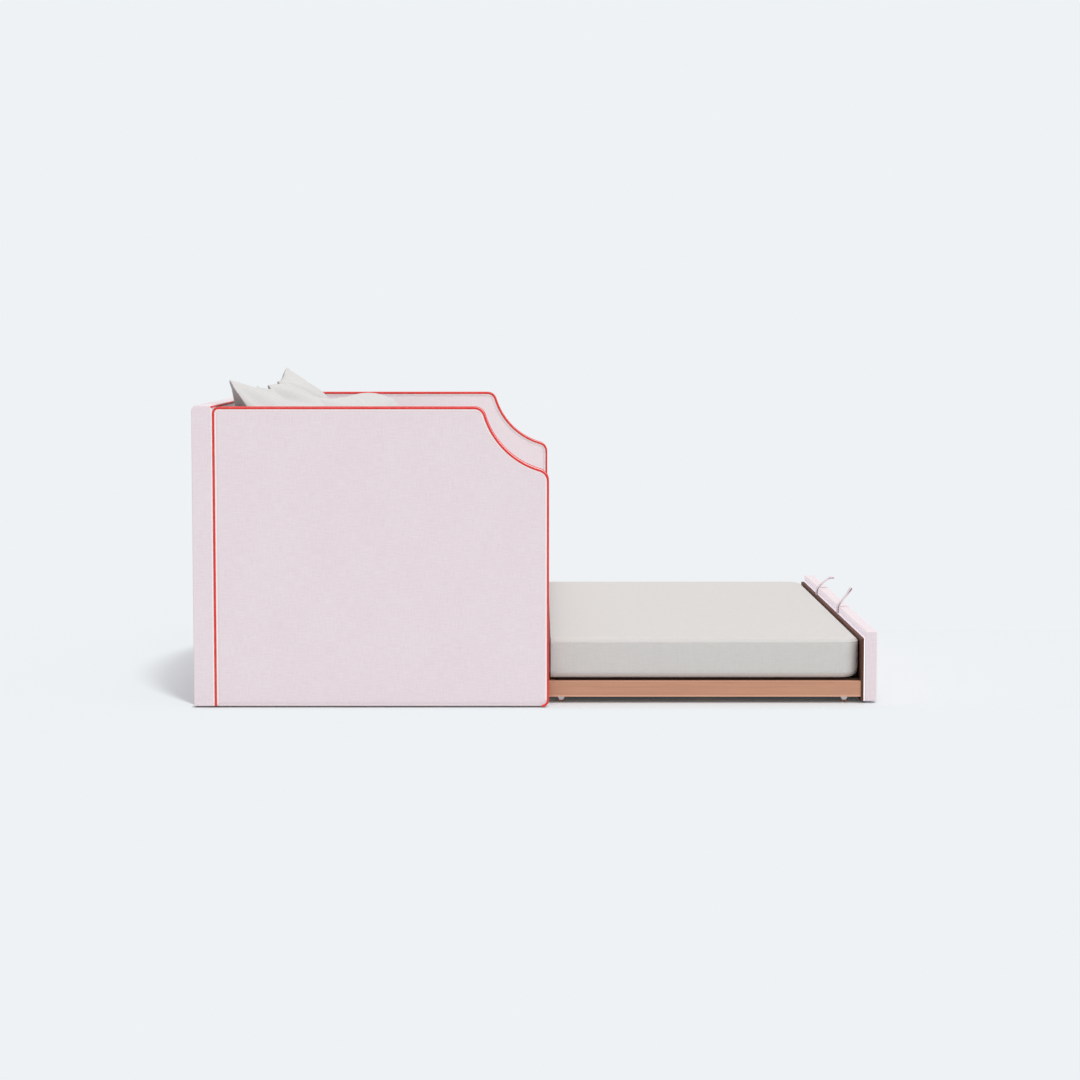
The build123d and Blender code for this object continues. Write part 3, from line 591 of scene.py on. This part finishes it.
sheet = cloth_finish("fitted_sheet", shade(205, 202, 199), shade(212, 209, 206), 0.0012, 0.12, 0.15)
# The cords are a sewn seam, in a cotton lighter than the sheet: a painted highlight along the top and bottom
# edges.
highlit_seam_cotton = cloth_finish("sheet_seam_painted_highlight", shade(214, 212, 209), shade(222, 220, 217), 0.001, 0.4, 0.15)
seam_radius, seam_height_share, seam_depth_share = 0.0015, 0.64, 0.067
bed_gap, sheet_bulge, rear_flatness = 0.0035, 0.0035, 0.2
for node, body, front_corner, rear_corner, top_round, foot_round in (
    ("daybed_mattress", "daybed", 0.055, 0.055, 0.017, 0.020),
    ("trundle_mattress", "trundle", 0.062, 0.030, 0.023, 0.031),
):
    low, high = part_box(node)
    low.y -= sheet_bulge * (body == "trundle")
    mattress = add_block(low, high)
    for corner, sign in ((front_corner, -1), (rear_corner, 1)):
        middle = (low.y + high.y) / 2
        pick(mattress, "edges", lambda edge: abs(edge.verts[0].co.z - edge.verts[1].co.z) > 0.01
             and (middle_of(edge).y - middle) * sign > 0.1)
        bpy.ops.mesh.bevel(offset=corner, segments=7, profile=0.5)
    for rounding, upper in ((top_round, True), (foot_round, False)):
        pick(mattress, "edges", lambda edge: edge.calc_face_angle(0) > math.radians(60)
             and (middle_of(edge).z > (low.z + high.z) / 2) == upper)
        bpy.ops.mesh.bevel(offset=rounding, segments=6, profile=0.5)
    bpy.ops.object.mode_set(mode="OBJECT")
    if body == "trundle":
        bed = low.z
        low.z += bed_gap
        for vertex in mattress.data.vertices:
            vertex.co.z = max(vertex.co.z, low.z + (vertex.co.z - bed) / 2)
            if high.y - vertex.co.y < foot_round + 0.001:
                vertex.co.y = high.y - (high.y - vertex.co.y) * rear_flatness
    smooth(mattress, 60)
    settle(mattress, node + "_sheet", (sheet,), body, "sheet", node)
    for seam, rounding, height in (
        ("top", top_round, high.z - top_round * seam_height_share),
        ("bottom", foot_round, low.z + foot_round * seam_height_share),
    ):
        inset = rounding * seam_depth_share
        draw_from((low.x + front_corner, low.y + inset, height))
        draw_by(high.x - low.x - 2 * front_corner, 0, 0)
        draw_flat((high.x - front_corner, low.y + front_corner, height))
        draw_by(0, high.y - low.y - front_corner - rear_corner, 0)
        draw_flat((high.x - rear_corner, high.y - rear_corner, height))
        draw_by(low.x - high.x + 2 * rear_corner, 0, 0)
        draw_flat((low.x + rear_corner, high.y - rear_corner, height))
        draw_by(0, low.y - high.y + front_corner + rear_corner, 0)
        draw_flat((low.x + front_corner, low.y + front_corner, height))
        cord = corded(bpy.context.object, seam_radius)
        settle(cord, node + "_seam_" + seam, (highlit_seam_cotton,), body, "sheet")


# The pillows: plump cotton cases with knife edges, three propped up along the back and a small
# one turned across the far corner. Each is two squares of cloth, sewn together along all four
# sides and blown up by the filling.
pillow_cotton = cloth_finish("pillow_cotton", shade(203, 202, 201), shade(213, 212, 211), 0.001, 0.2, 0.2)
# A darker copy of the pillow cotton for each pillow's rear square: painted shade for the side that faces the
# back.
pillow_painted_shade = cloth_finish("pillow_painted_shade", shade(158, 155, 152), shade(174, 171, 168), 0.001, 0.3, 0.1)
cloth_gap, start_plump, flat_share, filling_steps = 0.003, 0.22, 0.45, 26


def filled_case(size, rows):
    """A case standing at the origin, and where each of its points lies on the flat cloth."""
    bpy.ops.object.select_all(action="DESELECT")
    bpy.ops.mesh.primitive_grid_add(
        x_subdivisions=rows, y_subdivisions=rows, size=1, rotation=(math.pi / 2, 0, 0)
    )
    case = bpy.context.object
    case.scale = (size.x, size.z, 1)
    bpy.ops.object.transform_apply(location=True, rotation=True, scale=True)
    second = case.modifiers.new("second_square", "SOLIDIFY")
    second.thickness, second.offset = cloth_gap, -1
    bpy.ops.object.modifier_apply(modifier="second_square")
    points = np.array([vertex.co[:] for vertex in case.data.vertices])
    across, up = points[:, 0] / size.x * 2, points[:, 2] / size.z * 2
    plump = ((1 - across**2) * (1 - up**2)).clip(0) ** 0.42
    points[:, 1] += np.sign(points[:, 1] - cloth_gap / 2) * plump * size.y * start_plump
    case.data.vertices.foreach_set("co", points.ravel())
    cloth = case.modifiers.new("filling", "CLOTH")
    cloth.settings.quality = 6
    cloth.settings.mass = 0.25
    cloth.settings.use_pressure = True
    cloth.settings.uniform_pressure_force = 6.0
    cloth.settings.tension_stiffness = 18
    cloth.settings.compression_stiffness = 8
    cloth.settings.shear_stiffness = 4
    cloth.settings.bending_stiffness = 0.12
    cloth.settings.shrink_min = -0.06
    cloth.settings.effector_weights.gravity = 0
    cloth.point_cache.frame_start, cloth.point_cache.frame_end = 1, 30
    for step in range(1, filling_steps + 1):
        bpy.context.scene.frame_set(step)
    bpy.ops.object.modifier_apply(modifier="filling")
    bpy.context.scene.frame_set(1)
    points = np.array([vertex.co[:] for vertex in case.data.vertices])
    middle = (points.min(axis=0) + points.max(axis=0)) / 2
    points = (points - middle) * (np.array(size) / (points.max(axis=0) - points.min(axis=0)))
    points[:, 0] = points[:, 0] * (1 - flat_share) + across * size.x / 2 * flat_share
    points[:, 2] = points[:, 2] * (1 - flat_share) + up * size.z / 2 * flat_share
    case.data.vertices.foreach_set("co", points.ravel())
    return case, across, up


def arrange(case, size, across, up, crest, folds):
    """Gives a copy of a case its own top edge, through four heights, and its own soft folds."""
    one = case.copy()
    one.data = case.data.copy()
    bpy.context.scene.collection.objects.link(one)
    points = np.array([vertex.co[:] for vertex in one.data.vertices])
    seam = np.flatnonzero(up > 0.99)
    seam = seam[np.argsort(across[seam])]
    sewn = np.interp(across, across[seam], points[seam, 2])
    wanted = size.z / 2 + np.polyval(np.polyfit((-1, -0.4, 0.4, 1), crest, 3), across)
    points[:, 2] += (wanted - sewn) * ((1 + up) / 2) ** 3
    for start, end, width, depth in folds:
        along = np.array(end) - start
        place = np.stack((across, up), axis=1) - start
        share = (place @ along / (along @ along)).clip(0, 1)
        away = np.linalg.norm(place - share[:, None] * along, axis=1)
        crease = depth * np.exp(-((away / width) ** 2)) * np.sin(math.pi * (0.15 + 0.85 * share).clip(0, 1))
        points[:, 1] += crease * (points[:, 1] < 0) * (1 - np.maximum(abs(across), abs(up)) ** 8)
    one.data.vertices.foreach_set("co", points.ravel())
    # Faces of the rear square take the darker cotton: painted shade.
    for face in one.data.polygons:
        face.material_index = int(face.center.y > 0.0005)
    bpy.ops.object.select_all(action="DESELECT")
    one.select_set(True)
    bpy.context.view_layer.objects.active = one
    fine = one.modifiers.new("fine", "SUBSURF")
    fine.levels = fine.render_levels = 1
    bpy.ops.object.modifier_apply(modifier="fine")
    bpy.ops.object.shade_smooth_by_angle(angle=math.radians(55))
    return one


rest_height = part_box("daybed_mattress")[1].z
back_face, back_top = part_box("back_cover")[0].y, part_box("back_cover")[1].z
pillow_gap, back_gap, overhang = 0.002, 0.003, 0.2
big_size, big_lean = Vector((0.622, 0.205, 0.592)), math.radians(-32)
big_case, across, up = filled_case(big_size, 60)
for node, forward, crest, folds in (
    ("back_pillow_left", 0.032, (-0.009, -0.030, -0.053, -0.046),
     (((0.95, 0.8), (0.1, 0.35), 0.09, 0.0256), ((0.55, 0.95), (-0.1, 0.45), 0.08, -0.016),
      ((-0.9, 0.85), (-0.4, 0.2), 0.10, 0.016), ((-0.8, -0.8), (-0.2, -0.2), 0.12, 0.0192))),
    ("back_pillow_middle", 0.070, (-0.043, -0.046, -0.050, -0.048),
     (((-0.95, 0.85), (-0.2, 0.3), 0.09, 0.0288), ((-0.6, 0.95), (0.1, 0.5), 0.08, -0.016),
      ((0.9, 0.7), (0.3, 0.2), 0.11, 0.0224), ((0.8, -0.7), (0.3, -0.3), 0.12, 0.0192))),
    ("back_pillow_right", 0.040, (-0.042, -0.037, -0.010, 0.006),
     (((0.9, 0.85), (0.3, 0.1), 0.09, 0.0192), ((-0.9, 0.9), (-0.2, 0.3), 0.10, 0.0224),
      ((-0.8, -0.8), (-0.3, -0.1), 0.12, 0.016))),
):
    one = arrange(big_case, big_size, across, up, crest, folds)
    low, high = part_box(node)
    place = Matrix.Translation((low + high) / 2 - Vector((0, forward, 0)))
    one.data.transform(place @ Matrix.Rotation(big_lean, 4, "X"))
    for vertex in one.data.vertices:
        vertex.co.z = max(vertex.co.z, rest_height + pillow_gap)
        over = max(vertex.co.z - back_top, 0)
        vertex.co.y = min(vertex.co.y, back_face - back_gap + overhang * over)
    settle(one, node + "_case", (pillow_cotton, pillow_painted_shade), "daybed", "pillow_linen", node)
bpy.data.objects.remove(big_case)

small_size, small_lean, small_turn = Vector((0.46, 0.14, 0.455)), math.radians(-22), math.radians(-38)
small_case, across, up = filled_case(small_size, 36)
one = arrange(small_case, small_size, across, up, (-0.006, -0.022, -0.006, -0.050),
              (((-0.9, 0.9), (-0.2, 0.2), 0.12, 0.0128), ((0.9, 0.9), (0.3, 0.2), 0.12, 0.0128)))
place = Matrix.Translation((0.4585, 0.6215, rest_height + 0.213))
one.data.transform(place @ Matrix.Rotation(small_turn, 4, "Z") @ Matrix.Rotation(small_lean, 4, "X"))
for vertex in one.data.vertices:
    vertex.co.z = max(vertex.co.z, rest_height + pillow_gap)
settle(one, "small_pillow_case", (pillow_cotton, pillow_painted_shade), "daybed", "pillow_linen", "small_pillow")
bpy.data.objects.remove(small_case)


# The pull straps: pink webbing doubled into a loop, stapled between the trundle's front and
# its board. They stand up, lean forward over the front, and part into an open loop at the tip.
strap_webbing = cloth_finish("pink_webbing", shade(228, 212, 220), shade(240, 228, 234), 0.0012, 0.3, 0.2)
strap_runs = {
    "left": ((-1.0163, 0.185), (-1.0158, 0.205), (-1.0139, 0.223), (-1.0190, 0.236), (-1.0266, 0.2459),
             (-1.0368, 0.258), (-1.0462, 0.2689), (-1.0545, 0.281), (-1.0600, 0.2900)),
    "right": ((-1.0145, 0.185), (-1.0138, 0.2022), (-1.0125, 0.2162), (-1.019, 0.2302), (-1.0328, 0.2442),
              (-1.0436, 0.2525), (-1.0536, 0.26), (-1.064, 0.2655), (-1.0725, 0.2640)),
}
ply_gap, tip_length, webbing_thickness = 0.0027, 0.004, 0.0023
ply_gap_shares = (0.6, 0.8, 1.1, 0.8, 0.5, 0.45, 0.5, 1.0, 1.6)
for side, run in strap_runs.items():
    node = "pull_strap_" + side
    low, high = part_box(node)
    points = [Vector(point) for point in run]
    fronts, backs = [], []
    for index, point in enumerate(points):
        ahead = (points[min(index + 1, len(points) - 1)] - points[max(index - 1, 0)]).normalized()
        gap = Vector((-ahead.y, ahead.x)) * ply_gap * ply_gap_shares[index]
        fronts.append(point + gap)
        backs.append(point - gap)
    tip_ahead = (points[-1] - points[-2]).normalized() * tip_length
    route = fronts + [points[-1] + tip_ahead] + backs[::-1]
    draw_from((low.x, *route[0]))
    for start, end in zip(route, route[1:]):
        draw_by(0, *(end - start))
    bpy.ops.mesh.select_all(action="SELECT")
    bpy.ops.mesh.extrude_region_move(TRANSFORM_OT_translate={"value": (high.x - low.x, 0, 0)})
    bpy.ops.object.mode_set(mode="OBJECT")
    strap = bpy.context.object
    round_off = strap.modifiers.new("round_off", "SUBSURF")
    round_off.levels = round_off.render_levels = 2
    bpy.ops.object.modifier_apply(modifier="round_off")
    webbing = strap.modifiers.new("webbing", "SOLIDIFY")
    webbing.thickness, webbing.offset = webbing_thickness, 0
    bpy.ops.object.modifier_apply(modifier="webbing")
    smooth(strap, 50)
    settle(strap, "strap_" + side, (strap_webbing,), "trundle", "strap", node)
    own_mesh(strap)


# The casters' wheels: brown moulded nylon discs with a rounded tread and a raised hub. Each
# turns on the pin between its fork's cheeks as the trundle rolls.
wheel_nylon = Finish(bpy.data.materials.new("wheel_nylon"), Roughness=0.42)
scuffs = noise(wheel_nylon, wheel_nylon.node("TexCoord", {}, {})["Object"], 500.0, (1, 1, 1), 3.0)
wheel_colour = blend_of(wheel_nylon, scuffs, shade(140, 88, 66), shade(176, 122, 98))
wheel_brown = wheel_nylon.wear(Base_Color=wheel_colour)
tread_round, tread_edge, groove_width, hub_width, groove_depth = 0.0015, 0.0016, 0.0006, 0.0035, 0.0009
for side in ("left", "right"):
    for end in ("front", "rear"):
        node = "caster_wheel_" + side + "_" + end
        low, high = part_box(node)
        radius, width = (high.z - low.z) / 2, high.x - low.x
        bpy.ops.object.select_all(action="DESELECT")
        bpy.ops.mesh.primitive_cylinder_add(
            vertices=48, radius=radius, depth=width, location=(low + high) / 2, rotation=(0, math.pi / 2, 0)
        )
        wheel = bpy.context.object
        bpy.ops.object.transform_apply(location=True, rotation=True, scale=True)
        bpy.ops.object.mode_set(mode="EDIT")
        pick(wheel, "edges",
             lambda edge: sorted(len(face.verts) > 4 for face in edge.link_faces) == [False, True])
        bpy.ops.mesh.bevel(offset=tread_round, segments=3, profile=0.5)
        pick(wheel, "faces", lambda face: len(face.verts) > 8)
        bpy.ops.mesh.inset(thickness=tread_edge, depth=0.0)
        bpy.ops.mesh.inset(thickness=groove_width, depth=-groove_depth)
        bpy.ops.mesh.inset(thickness=hub_width, depth=0.0)
        bpy.ops.mesh.inset(thickness=groove_width, depth=groove_depth)
        bpy.ops.object.mode_set(mode="OBJECT")
        smooth(wheel, 40)
        body = "wheel_" + side + "_" + end
        settle(wheel, body + "_tread", (wheel_brown,), body, "wheel", node)
